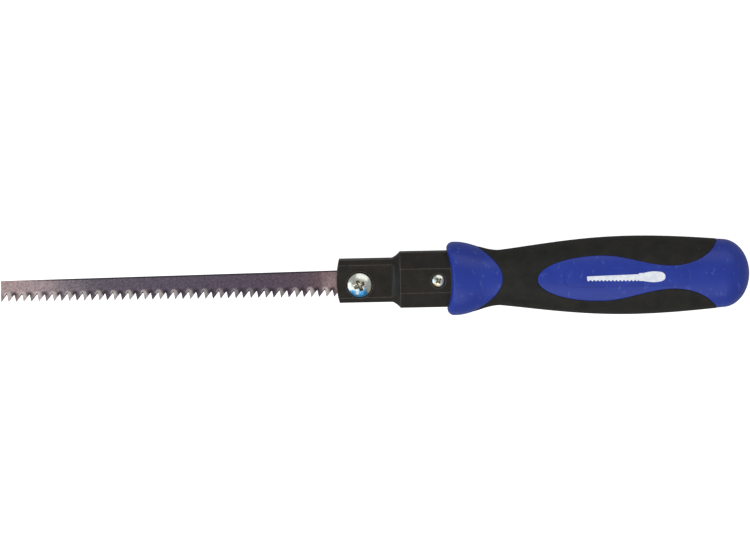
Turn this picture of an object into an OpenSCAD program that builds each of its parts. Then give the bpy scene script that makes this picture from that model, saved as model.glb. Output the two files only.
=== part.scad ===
// Pad saw lying on its side: a tapered blade clamped in a cast holder, on an over-moulded handle.
// +X runs along the tool from the toe of the blade to the butt, the teeth point along -Y,
// +Z is up off the bench, and the origin is on the bench under the middle of the tool.

/* [Blade] */
// Blade showing in front of the holder
blade_out = 140.75; // [110:0.25:180]
// Blade thickness
blade_t = 1.0; // [0.6:0.05:1.4]
// Back of the blade above the tool's axis, at the toe
toe_back = 2.75; // [2:0.1:4.5]
// Back of the blade above the tool's axis, at the holder
heel_back = 4.35; // [3:0.05:5.5]
// Tooth points below the tool's axis, at the toe
toe_teeth = 6.0; // [4.5:0.1:6.3]
// Tooth points below the tool's axis, at the holder
heel_teeth = 6.6; // [5.6:0.1:7]
// Distance from tooth to tooth (8 teeth to the inch)
tooth_pitch = 3.175; // [2:0.005:4.3]
// Depth of the gullets
tooth_depth = 2.95; // [1.6:0.05:3.6]
// How far each tooth point leads its gullet, towards the toe
tooth_lean = 0.72; // [0.1:0.01:1.2]
// Tang hidden in the holder
tang_len = 24.75; // [20:0.25:28]
// Last tooth behind the front of the holder
tooth_cover = 2.15; // [0:0.05:3]

/* [Holder] */
// Length of the narrow front part, which grips the blade
front_len = 23.15; // [20:0.05:32]
// Height of the front part, across the tool
front_w = 17.9; // [16.5:0.1:21]
// Thickness of the front part
front_t = 15.0; // [13.5:0.1:18]
// Chamfer along the front part's edges
front_chamfer = 2.1; // [1:0.1:2.6]
// Bulge of the front end, seen from the side
front_bulge = 1.2; // [0.4:0.1:2]
// Length of the hollow step from the front part to the rear part
step_len = 3.6; // [3:0.05:5.5]
// Length of the rear part, from the step to the middle of the collar
rear_len = 21.6; // [18:0.05:30]
// Height of the rear part, across the tool
rear_w = 23.2; // [21.5:0.1:24.5]
// Thickness of the rear part
rear_t = 22.4; // [21:0.1:23.5]
// Chamfer along the rear part's edges
rear_chamfer = 6.5; // [4:0.1:7]

/* [Clamp screw] */
// Screw axis behind the front of the holder
clamp_back = 9.65; // [8:0.05:12]
// Screw axis below the tool's axis
clamp_drop = 1.4; // [0.5:0.1:1.8]
// Thread diameter (M5)
clamp_d = 5.0; // [4:0.5:5]
// Shank length under the head
clamp_len = 14.0; // [12.5:0.5:16]
// Head diameter
clamp_head_d = 10.2; // [9:0.1:10.6]
// Head height
clamp_head_h = 3.4; // [2.5:0.1:4]
// Washer thickness
washer_t = 1.0; // [0.5:0.1:1.4]
// Washer outside diameter
washer_d = 10.0; // [8.5:0.1:10.6]
// Depth of the recess that the washer sits in
washer_seat = 1.6; // [1:0.1:2]
// Nut across flats
nut_af = 8.0; // [7:0.5:8.5]
// Nut thickness
nut_t = 4.0; // [2.7:0.1:4.2]

/* [Retaining screw] */
// Screw axis in front of the middle of the collar
retain_ahead = 5.7; // [4.5:0.1:8]
// Thread diameter
retain_d = 2.9; // [2.2:0.1:3.5]
// Head diameter
retain_head_d = 5.2; // [4.5:0.1:6]
// Head height
retain_head_h = 1.9; // [1.5:0.1:2.4]
// Depth of the recess that the head sits in
retain_seat = 0.9; // [0.4:0.1:1.5]

/* [Handle] */
// Length from the rim of the collar to the butt
handle_len = 126.9; // [105:0.1:150]
// Hollow of the collar's front face
collar_dish = 2.1; // [1:0.1:2.4]
// Height of the collar, across the tool
collar_w = 30.8; // [29:0.1:36]
// Thickness of the collar
collar_t = 28.0; // [27:0.1:32]
// Rounding of the collar's front edge
rim_r = 2.8; // [1.5:0.1:4]
// Narrowest place, behind the rim
neck_at = 22.0; // [18:0.5:26]
// Height of the neck
neck_w = 23.0; // [20:0.1:26]
// Thickness of the neck
neck_t = 21.6; // [19:0.1:24]
// Widest place, behind the rim
swell_at = 77.2; // [65:0.1:85]
// Height of the swell
swell_w = 32.7; // [28:0.1:38]
// Thickness of the swell
swell_t = 27.8; // [25:0.1:32]
// Height where the butt starts to round over
butt_w = 28.6; // [24:0.1:32]
// Thickness where the butt starts to round over
butt_t = 25.2; // [22:0.1:28]
// Length of the rounded butt
butt_len = 11.5; // [8:0.1:15]
// Squareness of the handle's cross-section, 2 being an ellipse
section_power = 2.35; // [2:0.05:3]

/* [Grip] */
// Thickness of the soft grip over the core
grip_t = 1.8; // [1:0.1:2.4]
// Rear of the collar's bare patch, behind the rim
collar_patch = 23.3; // [20:0.1:26]
// Width of that patch, as a parabola's factor
collar_spread = 16.5; // [13:0.5:18]
// Middle of the patch's curve above the tool's axis
collar_rise = 0.35; // [-1:0.05:1]
// Front tip of the side panel, behind the rim
panel_tip = 37.9; // [30:0.1:42]
// Widest place of the side panel, behind the rim
panel_peak_at = 64.5; // [55:0.5:70]
// Widest half-height of the side panel
panel_peak = 9.6; // [7:0.05:11]
// Waist of the side panel, ahead of the butt
panel_waist_ahead = 32.2; // [30:0.1:36]
// Half-height of the side panel at its waist
panel_waist = 4.9; // [3.5:0.1:6]
// Middle of the panel below the tool's axis
panel_drop = 0.3; // [0:0.05:1]
// Length over which the panel opens out into the butt
flare_len = 19.3; // [14:0.1:20]
// Height by which the panel would open out over that length
flare_rise = 13.6; // [12:0.1:16]

/* [Label land] */
// Front end of the flat land on each side panel, behind the rim
land_front = 48.8; // [42:0.1:60]
// Rear end of the land, ahead of the butt
land_rear = 25.1; // [20:0.1:36]
// Height of the land
land_w = 8.0; // [5:0.1:9]
// Corner radius of the land
land_r = 3.0; // [1:0.1:4]

/* [Tang bar] */
// Height of the steel bar moulded into the core
bar_w = 9.0; // [7:0.1:11]
// Thickness of the bar
bar_t = 4.0; // [3:0.1:5]
// Length of the bar inside the handle, behind the collar's face
bar_in_handle = 58.0; // [40:1:75]
// Diameter of the core's spigot, which fills the holder's socket
spigot_d = 15.0; // [13:0.1:16]
// Length of the spigot
spigot_len = 16.0; // [13:0.1:17]

/* [Hidden] */
$fn = 64;

sliding_gap = 0.1;   // each side of a piece that slides
running_gap = 0.05;  // radial, a screw in the thread that it turns in
seat_gap = 0.05;     // between fixed pieces that meet face to face
clear_hole = 0.3;    // radial, where a screw passes through without touching
head_gap = 0.45;     // radial, round a screw's head in its recess
cut = 1;             // how far a cutter runs past the face that it opens

// Places along the tool, from the toe to the butt.
total_len = blade_out + front_len + step_len + rear_len - collar_dish + handle_len;
x_toe = -total_len / 2;
x_front = x_toe + blade_out;
x_step = x_front + front_len;
x_rear = x_step + step_len;
x_face = x_rear + rear_len;
x_rim = x_face - collar_dish;
x_butt = x_rim + handle_len;
x_clamp = x_front + clamp_back;
x_retain = x_face - retain_ahead;
axis_z = max(swell_t + 0.2, collar_t) / 2;

// Blade
root_toe = toe_teeth - tooth_depth;
root_heel = heel_teeth - tooth_depth;
teeth = floor((blade_out + tooth_cover) / tooth_pitch);
x_tang = x_toe + teeth * tooth_pitch;
blade_slot_t = blade_t + 2 * sliding_gap;
screw_slot_r = clamp_d / 2 + clear_hole;

// Clamp
head_under = front_t / 2 - washer_seat + washer_t;
nut_seat = nut_t + 0.3;
nut_face = -front_t / 2 + nut_seat;

// Collar's hollow face
rim_half = collar_w / 2 - rim_r;
dish_r = (rim_half * rim_half + collar_dish * collar_dish) / (2 * collar_dish);

function lerp(a, b, t) = a + (b - a) * t;
function ease(t) = (1 - cos(180 * t)) / 2;
function teeth_y(x) = -lerp(toe_teeth, heel_teeth, (x - x_toe) / blade_out);
function root_y(x) = -lerp(root_toe, root_heel, (x - x_toe) / blade_out);

// Half-size of the handle at d behind the rim, from its collar, neck, swell and butt half-sizes.
// The swell is reached at swell_from and kept until swell_to.
collar_at = 3.5;
butt_at = handle_len - butt_len;
function main_half(d, collar, neck, swell, butt, swell_from, swell_to) =
    d < collar_at ? collar
    : d < neck_at ? lerp(collar, neck, ease((d - collar_at) / (neck_at - collar_at)))
    : d < swell_from ? lerp(neck, swell, pow(sin(90 * (d - neck_at) / (swell_from - neck_at)), 1.1))
    : d < swell_to ? swell
    : d < butt_at ? lerp(swell, butt, 1 - cos(90 * (d - swell_to) / (butt_at - swell_to)))
    : butt * sqrt(max(0.02, 1 - pow((d - butt_at) / butt_len, 2)));
function rim_round(d) = d < rim_r ? rim_r - sqrt(rim_r * rim_r - pow(rim_r - d, 2)) : 0;
function half_w(d) =
    main_half(d, collar_w / 2, neck_w / 2, swell_w / 2, butt_w / 2, swell_at, swell_at) - rim_round(d);
flat_run = 16;  // half the length over which the thickness stays at its full size
function half_t(d) =
    main_half(d, collar_t / 2, neck_t / 2, swell_t / 2, butt_t / 2, swell_at - flat_run, swell_at + flat_run)
    - rim_round(d);

// Stations along the handle, closer together where it rounds over.
stations = concat(
    [for (a = [0, 25, 55, 90]) rim_r * (1 - cos(a))],
    [for (k = [1:5]) lerp(rim_r, neck_at, k / 5)],
    [for (k = [1:6]) lerp(neck_at, swell_at, k / 6)],
    [for (k = [1:4]) lerp(swell_at, butt_at, k / 4)],
    [for (a = [22, 44, 66, 90]) butt_at + butt_len * sin(a)]);
ring_n = 32;
function super(c) = sign(c) * pow(abs(c), 2 / section_power);
function ring(d, inset) =
    [for (k = [0:ring_n - 1]) [x_rim + d,
                               (half_w(d) - inset) * super(cos(360 * k / ring_n)),
                               (half_t(d) - inset) * super(sin(360 * k / ring_n))]];

// The handle's outer form, or the same form drawn in by an inset, as a chain of short lengths.
module handle_form(inset = 0) {
    run = [for (d = stations) if (inset == 0 || (d > rim_r && d < handle_len)) ring(d, inset)];
    for (k = [0:len(run) - 2]) hull()
        polyhedron(points = concat(run[k], run[k + 1]), faces = [[for (i = [0:2 * ring_n - 1]) i]]);
}

// Half-height of the side panel at d behind the rim.
panel_waist_at = handle_len - panel_waist_ahead;
function panel_half(d) =
    d < panel_peak_at
        ? panel_peak * sqrt(max(0, 1 - pow((panel_peak_at - d) / (panel_peak_at - panel_tip), 2)))
    : d < panel_waist_at
        ? lerp(panel_peak, panel_waist, ease((d - panel_peak_at) / (panel_waist_at - panel_peak_at)))
    : panel_waist + flare_rise * (1 - sqrt(max(0, 1 - pow((d - panel_waist_at) / flare_len, 2))));
panel_steps = concat(
    [for (a = [0:12:84]) panel_peak_at - (panel_peak_at - panel_tip) * cos(a)],
    [for (k = [0:8]) lerp(panel_peak_at, panel_waist_at, k / 8)],
    [for (a = [12:12:84]) panel_waist_at + flare_len * sin(a)]);

// Side view of everything that the soft grip leaves bare: the collar, and the panel with the butt.
module bare_outline() {
    collar_edge = [for (k = [-10:10])
        [x_rim + collar_patch - pow(1.7 * k - collar_rise, 2) / collar_spread, 1.7 * k]];
    polygon(concat([[x_rim - cut, -17]], collar_edge, [[x_rim - cut, 17]]));
    polygon(concat(
        [for (d = panel_steps) [x_rim + d, panel_half(d) - panel_drop]],
        [[x_butt + cut, 20], [x_butt + cut, -20]],
        [for (k = [len(panel_steps) - 1:-1:1]) [x_rim + panel_steps[k], -panel_half(panel_steps[k]) - panel_drop]]));
}

module through(outline_t = 40) {
    translate([0, 0, -outline_t / 2]) linear_extrude(outline_t) children();
}

// Rectangle across X with chamfered corners.
function octagon(x, w, t, c) = [
    [x, w / 2, t / 2 - c], [x, w / 2 - c, t / 2], [x, c - w / 2, t / 2], [x, -w / 2, t / 2 - c],
    [x, -w / 2, c - t / 2], [x, c - w / 2, -t / 2], [x, w / 2 - c, -t / 2], [x, w / 2, c - t / 2]];

// Solid through a list of octagons, each further along X than the last.
module octagon_bar(run) {
    last = len(run) - 1;
    polyhedron(
        points = [for (r = run) each r],
        faces = concat(
            [[for (k = [0:7]) k]],
            [for (s = [0:last - 1]) for (k = [0:7])
                [8 * s + k, 8 * s + 8 + k, 8 * s + 8 + (k + 1) % 8, 8 * s + (k + 1) % 8]],
            [[for (k = [7:-1:0]) 8 * last + k]]));
}

// A pan head with its underside at z = 0: a short rim under a dome.
module pan_head(d, h) {
    rim = h * 0.45;
    dome = h - rim;
    ball = (d * d / 4 + dome * dome) / (2 * dome);
    intersection() {
        cylinder(d = d, h = h);
        translate([0, 0, h - ball]) sphere(r = ball);
    }
}

// A cross recess, cut down from z = 0.
module cross_recess(span, depth) {
    arm = span * 0.26;
    translate([0, 0, -depth]) {
        translate([-span / 2, -arm / 2, 0]) cube([span, arm, depth + cut]);
        translate([-arm / 2, -span / 2, 0]) cube([arm, span, depth + cut]);
    }
}

// Lifts a piece drawn round the tool's axis to where the tool lies on the bench.
module laid() {
    translate([0, 0, axis_z]) children();
}

module blade() {
    points = concat(
        [for (k = [0:teeth - 1]) let (x = x_toe + k * tooth_pitch) each
            [[x, teeth_y(x)], [x + tooth_pitch - tooth_lean, root_y(x + tooth_pitch - tooth_lean)]]],
        [[x_tang, teeth_y(x_tang)], [x_front + tang_len, -heel_teeth],
         [x_front + tang_len, heel_back], [x_front, heel_back], [x_toe, toe_back]]);
    color([0.42, 0.37, 0.41]) laid() difference() {
        through(blade_t) polygon(points);
        // The open slot lets the blade draw forwards off the clamp screw.
        translate([x_clamp, -clamp_drop, -cut]) cylinder(r = screw_slot_r, h = 2 * cut);
        translate([x_clamp, -clamp_drop - screw_slot_r, -cut])
            cube([tang_len, 2 * screw_slot_r, 2 * cut]);
    }
}

// The narrow front, the hollow step and the eight-sided rear, before any opening is cut.
module holder_form() {
    front_r = (front_w * front_w / 4 + front_bulge * front_bulge) / (2 * front_bulge);
    back_r = dish_r - seat_gap;
    function grown(x, u) = octagon(x, lerp(front_w, rear_w, u), lerp(front_t, rear_t, u),
                                   lerp(front_chamfer, rear_chamfer, u));
    intersection() {
        octagon_bar(concat(
            [grown(x_front, 0)],
            [for (k = [0:5]) grown(lerp(x_step, x_rear, k / 5), pow(k / 5, 1.5))],
            [grown(x_face + cut, 1)]));
        // The front end bulges, and the rear end follows the collar's hollow face.
        translate([x_front + front_r, 0, -front_t]) cylinder(r = front_r, h = 2 * front_t, $fn = 180);
        translate([x_face - back_r - seat_gap, 0, -rear_t]) cylinder(r = back_r, h = 2 * rear_t, $fn = 180);
    }
}

module blade_holder() {
    color([0.13, 0.12, 0.11]) laid() difference() {
        holder_form();
        // Slit between the two cheeks, open at the front and along both edges.
        translate([x_front - cut, -front_w, -blade_slot_t / 2])
            cube([front_len + step_len / 2 + cut, 2 * front_w, blade_slot_t]);
        // Room behind the slit for the end of the tang.
        translate([x_step, -heel_teeth - sliding_gap, -blade_slot_t / 2])
            cube([step_len + rear_len - spigot_len, heel_teeth + heel_back + 2 * sliding_gap, blade_slot_t]);
        // Socket for the core's spigot.
        translate([x_face - spigot_len - seat_gap, 0, 0]) rotate([0, 90, 0])
            cylinder(d = spigot_d + 2 * seat_gap, h = spigot_len + cut);
        // Clamp screw: washer seat, clear hole and nut pocket.
        translate([x_clamp, -clamp_drop, 0]) {
            translate([0, 0, -front_t]) cylinder(r = clamp_d / 2 + clear_hole, h = 2 * front_t);
            translate([0, 0, front_t / 2 - washer_seat])
                cylinder(d = clamp_head_d + 2 * head_gap, h = washer_seat + cut);
            translate([0, 0, -front_t / 2 - cut])
                cylinder(d = (nut_af + 2 * seat_gap) / cos(30), h = nut_seat + cut, $fn = 6);
        }
        // Retaining screw: head seat and clear hole, through the near wall only.
        translate([x_retain, 0, 0]) {
            cylinder(r = retain_d / 2 + clear_hole / 2, h = rear_t);
            translate([0, 0, rear_t / 2 - retain_seat])
                cylinder(d = retain_head_d + 2 * head_gap, h = retain_seat + cut);
        }
    }
}

module clamp_screw() {
    color([0.78, 0.77, 0.72]) laid() translate([x_clamp, -clamp_drop, head_under]) {
        difference() {
            pan_head(clamp_head_d, clamp_head_h);
            translate([0, 0, clamp_head_h]) rotate([0, 0, 25]) cross_recess(5.0, 2.4);
        }
        translate([0, 0, -clamp_len]) cylinder(d = clamp_d, h = clamp_len + 0.1);
    }
}

module clamp_washer() {
    color([0.72, 0.72, 0.70]) laid() translate([x_clamp, -clamp_drop, head_under - washer_t]) difference() {
        cylinder(d = washer_d, h = washer_t - 0.02);
        translate([0, 0, -cut]) cylinder(r = clamp_d / 2 + running_gap, h = washer_t + 2 * cut);
    }
}

module clamp_nut() {
    color([0.72, 0.72, 0.70]) laid() translate([x_clamp, -clamp_drop, nut_face - nut_t]) difference() {
        cylinder(d = nut_af / cos(30), h = nut_t, $fn = 6);
        translate([0, 0, -cut]) cylinder(r = clamp_d / 2 + running_gap, h = nut_t + 2 * cut);
    }
}

module retaining_screw() {
    head_z = rear_t / 2 - retain_seat;
    color([0.80, 0.79, 0.76]) laid() translate([x_retain, 0, head_z + 0.02]) {
        difference() {
            pan_head(retain_head_d, retain_head_h);
            translate([0, 0, retain_head_h]) rotate([0, 0, 35]) cross_recess(2.8, 1.2);
        }
        translate([0, 0, -head_z - bar_t / 2]) cylinder(d = retain_d, h = head_z + bar_t / 2 + 0.1);
    }
}

module tang_bar() {
    color([0.55, 0.55, 0.56]) laid() difference() {
        translate([x_face - spigot_len, -bar_w / 2, -bar_t / 2])
            cube([spigot_len + bar_in_handle, bar_w, bar_t]);
        translate([x_retain, 0, -bar_t]) cylinder(r = retain_d / 2 + running_gap, h = 2 * bar_t);
    }
}

// The flat land for a label, through both side panels.
module label_land() {
    through(2 * axis_z) hull()
        for (x = [x_rim + land_front + land_r, x_butt - land_rear - land_r], side = [-1, 1])
            translate([x, side * (land_w / 2 - land_r)]) circle(r = land_r, $fn = 32);
}

module handle_core() {
    color([0.18, 0.25, 0.57]) laid() difference() {
        union() {
            difference() {
                union() {
                    handle_form(grip_t);
                    intersection() {
                        handle_form();
                        through() bare_outline();
                    }
                    label_land();
                }
                translate([x_face - dish_r, 0, -collar_t]) cylinder(r = dish_r, h = 2 * collar_t, $fn = 240);
            }
            translate([x_face - spigot_len, 0, 0]) rotate([0, 90, 0])
                cylinder(d = spigot_d, h = spigot_len + rim_r);
        }
        translate([x_face - spigot_len - cut, -bar_w / 2, -bar_t / 2])
            cube([spigot_len + bar_in_handle + cut, bar_w, bar_t]);
        translate([x_retain, 0, 0]) cylinder(r = retain_d / 2 + running_gap, h = spigot_d);
    }
}

module soft_grip() {
    color([0.16, 0.16, 0.15]) laid() difference() {
        handle_form();
        handle_form(grip_t);
        through() bare_outline();
    }
}

blade();
blade_holder();
clamp_screw();
clamp_washer();
clamp_nut();
retaining_screw();
tang_bar();
handle_core();
soft_grip();
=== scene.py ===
import math

import bmesh
import bpy
from mathutils import Matrix, Vector


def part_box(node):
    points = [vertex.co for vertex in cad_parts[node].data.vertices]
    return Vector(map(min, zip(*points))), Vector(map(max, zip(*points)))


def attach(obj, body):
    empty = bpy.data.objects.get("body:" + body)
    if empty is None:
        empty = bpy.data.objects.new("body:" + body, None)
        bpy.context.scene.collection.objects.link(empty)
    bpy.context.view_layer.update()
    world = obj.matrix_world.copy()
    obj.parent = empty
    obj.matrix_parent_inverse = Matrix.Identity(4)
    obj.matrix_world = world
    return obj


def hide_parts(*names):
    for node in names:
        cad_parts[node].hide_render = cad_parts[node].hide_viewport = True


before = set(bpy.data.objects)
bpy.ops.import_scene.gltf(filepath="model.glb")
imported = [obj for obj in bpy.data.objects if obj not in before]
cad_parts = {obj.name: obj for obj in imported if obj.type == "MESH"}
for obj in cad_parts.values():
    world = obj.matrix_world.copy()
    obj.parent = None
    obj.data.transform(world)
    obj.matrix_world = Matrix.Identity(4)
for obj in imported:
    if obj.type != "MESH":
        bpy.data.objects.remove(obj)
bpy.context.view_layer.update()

# --------------------------------------------------
# The steel bar that joins holder and handle. It is cut from hot-rolled strip, slid into the
# holder's socket and moulded into the handle's core, so nothing of it shows on the whole saw.
# --------------------------------------------------
mm = 0.001
bar_bright = (0.42, 0.41, 0.40, 1)
bar_scale = (0.16, 0.15, 0.15, 1)


def node(tree, kind, inputs=None, **settings):
    """Adds a shader node; each input takes a plain value or another node's socket."""
    made = tree.nodes.new(kind)
    for name, value in settings.items():
        setattr(made, name, value)
    for socket, value in (inputs or {}).items():
        if isinstance(value, bpy.types.NodeSocket):
            tree.links.new(value, made.inputs[socket])
        else:
            made.inputs[socket].default_value = value
    return made


def reckon(tree, operation, *terms, clamp=False):
    """One sum on the values that the terms give."""
    made = node(tree, "ShaderNodeMath", dict(enumerate(terms)), operation=operation, use_clamp=clamp)
    return made.outputs[0]


def times(tree, a, b):
    return reckon(tree, "MULTIPLY", a, b)


def ramp(tree, value, start, end, low=0.0, high=1.0):
    """Eases from low to high as the value goes from start to end."""
    places = {"Value": value, "From Min": start, "From Max": end, "To Min": low, "To Max": high}
    return node(tree, "ShaderNodeMapRange", places, interpolation_type="SMOOTHSTEP").outputs["Result"]


def tint(tree, share, low, high, kind="MIX"):
    """The low colour where share is 0 and the high colour where it is 1."""
    places = {0: share, 6: low, 7: high}
    return node(tree, "ShaderNodeMix", places, data_type="RGBA", blend_type=kind).outputs[2]


def millimetres(tree):
    """Place on the piece in millimetres, as a vector and as its three parts."""
    place = node(tree, "ShaderNodeTexCoord").outputs["Object"]
    scaled = node(tree, "ShaderNodeVectorMath", {0: place, "Scale": 1 / mm}, operation="SCALE").outputs[0]
    return scaled, node(tree, "ShaderNodeSeparateXYZ", {0: scaled}).outputs


def noise(tree, place, size, detail=3.0, rough=0.55, stretch=None):
    """Soft random blots about size millimetres across, drawn out along each axis by stretch."""
    if stretch:
        shrink = [1 / s for s in stretch]
        place = node(tree, "ShaderNodeVectorMath", {0: place, 1: shrink}, operation="MULTIPLY").outputs[0]
    scale = reckon(tree, "DIVIDE", 1.0, size) if isinstance(size, bpy.types.NodeSocket) else 1 / size
    values = {"Vector": place, "Scale": scale, "Detail": detail, "Roughness": rough}
    return node(tree, "ShaderNodeTexNoise", values).outputs[0]


def effect(name, inputs, outputs):
    """A node group with named inputs and outputs, and the sockets inside it."""
    tree = bpy.data.node_groups.new(name, "ShaderNodeTree")
    for label, kind, start in inputs:
        tree.interface.new_socket(label, in_out="INPUT", socket_type=kind).default_value = start
    for label, kind in outputs:
        tree.interface.new_socket(label, in_out="OUTPUT", socket_type=kind)
    return tree, node(tree, "NodeGroupInput").outputs, node(tree, "NodeGroupOutput").inputs


def use(tree, group, **values):
    """Places a group in a material, with underscores standing for the spaces in its inputs' names."""
    made = node(tree, "ShaderNodeGroup", node_tree=group)
    for label, value in values.items():
        socket = made.inputs[label.replace("_", " ")]
        if isinstance(value, bpy.types.NodeSocket):
            tree.links.new(value, socket)
        else:
            socket.default_value = value
    return made.outputs


def finish_named(name, **constants):
    """A new material and its Principled shader, with the shader's constant values set."""
    material = bpy.data.materials.new(name)
    material.use_nodes = True
    shader = material.node_tree.nodes["Principled BSDF"]
    for label, value in constants.items():
        shader.inputs[label.replace("_", " ")].default_value = value
    return material, material.node_tree, shader


def feed(tree, shader, **sockets):
    """Links what each named socket of the shader takes, with underscores standing for spaces."""
    for label, source in sockets.items():
        tree.links.new(source, shader.inputs[label.replace("_", " ")])


def relief(tree, shader, height, depth, over=None):
    """Surface relief of that depth in metres, over a coarser (height, depth) if there is one."""
    bump = node(tree, "ShaderNodeBump", {"Height": height, "Distance": depth, "Strength": 1.0})
    if over:
        coarse = node(tree, "ShaderNodeBump", {"Height": over[0], "Distance": over[1], "Strength": 1.0})
        tree.links.new(coarse.outputs["Normal"], bump.inputs["Normal"])
    tree.links.new(bump.outputs["Normal"], shader.inputs["Normal"])


FLOAT, COLOUR = "NodeSocketFloat", "NodeSocketColor"

# Drawn or rolled metal: fine lines along X, with patches between two tones.
rolled_lines, given, gives = effect(
    "Rolled lines",
    [("Line Width", FLOAT, 0.15), ("Patch Size", FLOAT, 6.0),
     ("Low Tone", COLOUR, bar_scale), ("High Tone", COLOUR, bar_bright)],
    [("Color", COLOUR), ("Height", FLOAT), ("Patches", FLOAT)])
place, _ = millimetres(rolled_lines)
lines = noise(rolled_lines, place, given["Line Width"], 2.0, stretch=(14, 1, 1))
patches = ramp(rolled_lines, noise(rolled_lines, place, given["Patch Size"], 4.0, 0.62), 0.34, 0.66)
tone = reckon(rolled_lines, "ADD", times(rolled_lines, lines, 0.35), times(rolled_lines, patches, 0.65))
rolled_lines.links.new(tint(rolled_lines, tone, given["Low Tone"], given["High Tone"]), gives["Color"])
rolled_lines.links.new(lines, gives["Height"])
rolled_lines.links.new(patches, gives["Patches"])

bar_steel, tree, shader = finish_named("Mill-scaled bar steel", Metallic=1.0)
lay = use(tree, rolled_lines, Line_Width=0.2, Patch_Size=5.0)
feed(tree, shader, Base_Color=lay["Color"], Roughness=reckon(tree, "MULTIPLY_ADD", lay["Patches"], -0.2, 0.6))
relief(tree, shader, lay["Height"], 0.02 * mm)

tang_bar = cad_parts["tang_bar"]
for held in tang_bar.material_slots:
    held.material = bar_steel
bar_edges = tang_bar.modifiers.new("Rolled corners", "BEVEL")
bar_edges.width, bar_edges.segments = 0.3 * mm, 2
bar_edges.limit_method, bar_edges.angle_limit = "ANGLE", math.radians(50)

# --------------------------------------------------
# The handle's core: blue polypropylene moulded round the bar. It shows as the collar in front,
# as a long panel with a shallow label land on each side, and as the domed butt.
# --------------------------------------------------
spigot_len, spigot_r = 16.0, 7.5
collar_dish, rim_r = 2.1, 2.8
handle_len, collar_at, neck_at, swell_at, butt_len, flat_run = 126.9, 3.5, 22.0, 77.2, 11.5, 16.0
half_heights = (15.4, 11.5, 16.35, 14.3)       # collar, neck, swell, butt, across the tool
half_thicknesses = (14.0, 10.8, 13.9, 12.6)    # the same, square to it
section_power = 2.35
grip_t = 1.8
collar_patch, collar_spread, collar_rise = 23.3, 16.5, 0.35
panel_tip, panel_peak_at, panel_peak, waist_at, panel_waist = 37.9, 64.5, 9.6, 94.7, 4.9
panel_drop = 0.3                               # middle of the panel below the axis
flare_len, flare_rise = 19.3, 13.6
land_from, land_to, land_half, land_r = 48.8, 101.8, 4.0, 3.0
land_sink, land_slope = 0.3, 0.35              # depth of the land on the upper side, and its sloping edge
core_edge_drop, core_edge_run = 0.14, 0.35     # rounding of the core where the grip begins
edge_rows = (-core_edge_run, -0.12, 0.0, 0.18, 0.5)   # rows of corners along the grip's edge
around = 112                                   # points round the handle
run_steps = 140                                # rings between the rim and the butt
butt_angles = (6, 12, 18, 24, 30, 36, 42, 48, 54, 60, 66, 72, 77, 81, 84, 87)

core_low, core_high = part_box("handle_core")
bench_lift = (core_low.z + core_high.z) / 2    # height of the tool's axis over the bench
x_face = core_low.x / mm + spigot_len
x_rim = x_face - collar_dish
butt_at = handle_len - butt_len
rim_half = half_heights[0] - rim_r
dish_r = (rim_half ** 2 + collar_dish ** 2) / (2 * collar_dish)


def laid(x, y, z):
    """A place in millimetres from the tool's axis, laid on the bench, in metres."""
    return Vector((x * mm, y * mm, z * mm + bench_lift))


def lerp(a, b, t):
    return a + (b - a) * t


def ease(t):
    return (1 - math.cos(math.pi * t)) / 2


def handle_half(d, sizes, swell_from, swell_to):
    """Half-size of the handle at d behind the rim, from its collar, neck, swell and butt half-sizes."""
    collar, neck, swell, butt = sizes
    rounded = rim_r - math.sqrt(rim_r ** 2 - (rim_r - d) ** 2) if d < rim_r else 0
    if d < collar_at:
        return collar - rounded
    if d < neck_at:
        return lerp(collar, neck, ease((d - collar_at) / (neck_at - collar_at)))
    if d < swell_from:
        return lerp(neck, swell, math.sin(math.pi / 2 * (d - neck_at) / (swell_from - neck_at)) ** 1.1)
    if d < swell_to:
        return swell
    if d < butt_at:
        return lerp(swell, butt, 1 - math.cos(math.pi / 2 * (d - swell_to) / (butt_at - swell_to)))
    return butt * math.sqrt(max(0.002, 1 - ((d - butt_at) / butt_len) ** 2))


def half_height(d):
    return handle_half(d, half_heights, swell_at, swell_at)


def half_thickness(d):
    return handle_half(d, half_thicknesses, swell_at - flat_run, swell_at + flat_run)


def squarish(c):
    return math.copysign(abs(c) ** (2 / section_power), c)


def face_curve(y):
    """How far the hollow front of the collar lies behind the rim."""
    return max(0.0, math.sqrt(max(0.0, dish_r ** 2 - y * y)) - math.sqrt(dish_r ** 2 - rim_half ** 2))


def turns(count):
    return [2 * math.pi * k / count for k in range(count)]


def handle_ring(d):
    """Ring of points round the handle; the first few follow the hollow of the collar's front."""
    follow = max(0.0, 1 - d / 8) ** 2
    ring = []
    for a in turns(around):
        y, z = half_height(d) * squarish(math.cos(a)), half_thickness(d) * squarish(math.sin(a))
        ring.append((x_rim + d + follow * face_curve(y), y, z))
    return ring


def box_ring(x, half_y, half_z):
    """Ring of points on a rectangle across the tool."""
    reach = [1 / max(abs(math.cos(a)) / half_y, abs(math.sin(a)) / half_z) for a in turns(around)]
    return [(x, r * math.cos(a), r * math.sin(a)) for a, r in zip(turns(around), reach)]


def loft(rings, wrap=False):
    """Skin through rings of equal count, closed at both ends, or joined end to end if it wraps."""
    count, rows = len(rings[0]), len(rings)
    points = [point for ring in rings for point in ring]
    faces = []
    for row in range(rows if wrap else rows - 1):
        a, b = row * count, (row + 1) % rows * count
        faces += [(a + k, a + (k + 1) % count, b + (k + 1) % count, b + k) for k in range(count)]
    if not wrap:
        faces += [tuple(range(count)), tuple(range((rows - 1) * count, rows * count))]
    return points, faces


def skin(points, faces):
    """A bmesh of those points, laid on the bench, with its faces turned outwards."""
    made = bmesh.new()
    corners = [made.verts.new(laid(*point)) for point in points]
    for face in faces:
        made.faces.new([corners[k] for k in face])
    bmesh.ops.recalc_face_normals(made, faces=made.faces)
    made.normal_update()
    return made


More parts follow.
